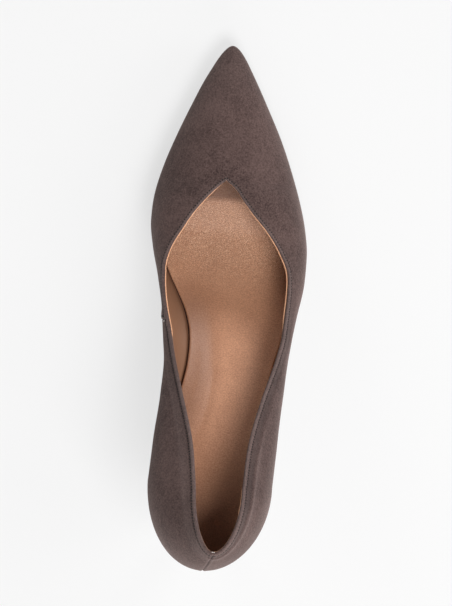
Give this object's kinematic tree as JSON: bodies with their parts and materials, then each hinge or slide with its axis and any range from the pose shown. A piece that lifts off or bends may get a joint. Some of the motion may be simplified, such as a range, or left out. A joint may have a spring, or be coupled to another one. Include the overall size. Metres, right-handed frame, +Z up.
{
  "type": "stiletto pump",
  "caption": "Low-cut pointed court shoe for the right foot, with a V-cut throat, a suede upper and a slim high heel.",
  "frame": {"origin": "on the floor, at the middle of the flat tread under the ball of the foot", "axes": "+Y towards the toe, +X towards the outer side of the foot, +Z up"},
  "size_m": [0.078, 0.255, 0.1219],
  "materials": {
    "suede": "brushed suede, dull, with a soft nap",
    "footbed": "smooth leather with a pearly sheen",
    "outsole": "satin resin sole",
    "heel": "covered in the upper's suede",
    "top_piece": "matt hard rubber"
  },
  "bodies": {
    "root": {"upper": "suede", "insole": "footbed", "outsole": "outsole", "heel": "heel", "top_piece": "top_piece"}
  },
  "joints": []
}
